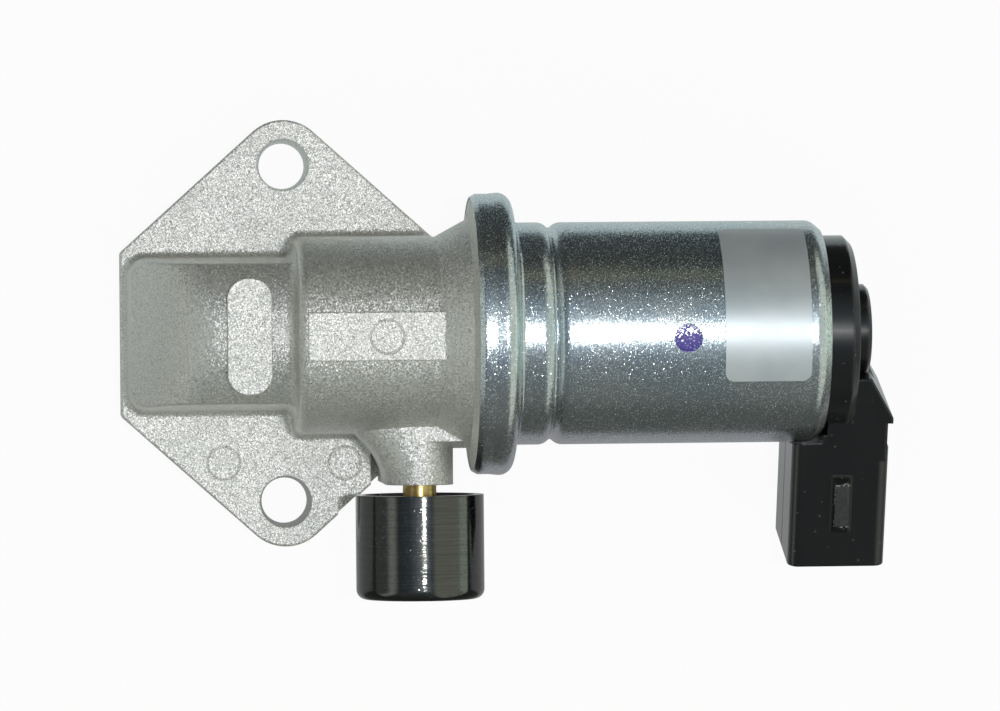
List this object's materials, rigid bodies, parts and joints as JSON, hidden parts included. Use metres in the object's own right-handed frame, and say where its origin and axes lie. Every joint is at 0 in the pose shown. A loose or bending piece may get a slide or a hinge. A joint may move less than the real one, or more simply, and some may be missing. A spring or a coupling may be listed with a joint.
{
  "type": "idle air control valve",
  "caption": "Idle air control valve: cast flanged body with air ports, steel solenoid can, vent filter cap and side plug connector.",
  "frame": {"origin": "on the mounting face, midway between the two bolt holes", "axes": "+X along the solenoid towards its rear cap, +Y along the line of the bolt holes away from the vent cap, +Z out of the mounting face towards the viewer, away from the engine"},
  "size_m": [0.1317, 0.0825, 0.0501],
  "materials": {
    "cast_aluminium": "sandblasted casting",
    "plated_steel": "bright zinc plate",
    "steel": "machined",
    "brass": "turned",
    "bronze": "sintered",
    "copper_winding": "enamelled wire",
    "black_plastic": "moulded, slight sheen",
    "gloss_black": "turned and polished",
    "bobbin_plastic": "moulded",
    "seal_rubber": "soft",
    "filter_foam": "open foam",
    "tin_plate": "tinned",
    "label_foil": "satin silver film"
  },
  "bodies": {
    "housing": {"valve_body": "cast_aluminium", "solenoid_can": "plated_steel", "guide_plate": "steel", "front_bush": "bronze", "snap_ring": "steel", "front_o_ring": "seal_rubber", "front_pole_plate": "steel", "guide_sleeve": "brass", "coil_bobbin": "bobbin_plastic", "coil_winding": "copper_winding", "rear_pole_plate": "steel", "fixed_core": "steel", "adjusting_screw": "steel", "return_spring": "steel", "end_cap": "black_plastic", "terminal_1": "tin_plate", "terminal_2": "tin_plate", "coil_lead_1": "copper_winding", "coil_lead_2": "copper_winding", "suppression_diode": "black_plastic", "rear_o_ring": "seal_rubber", "rear_plug": "black_plastic", "vent_tube": "brass", "vent_cap": "gloss_black", "vent_filter": "filter_foam", "label": "label_foil"},
    "plunger": {"valve_shaft": "steel", "poppet": "brass", "poppet_clip": "steel", "armature": "steel"}
  },
  "joints": [
    {"name": "plunger_slide", "type": "slide", "parent": "housing", "child": "plunger", "axis": [1, 0, 0], "range_m": [0, 0.005], "stiffness_N_per_m": 300, "springref_m": -0.01, "deforming": ["return_spring"]}
  ]
}
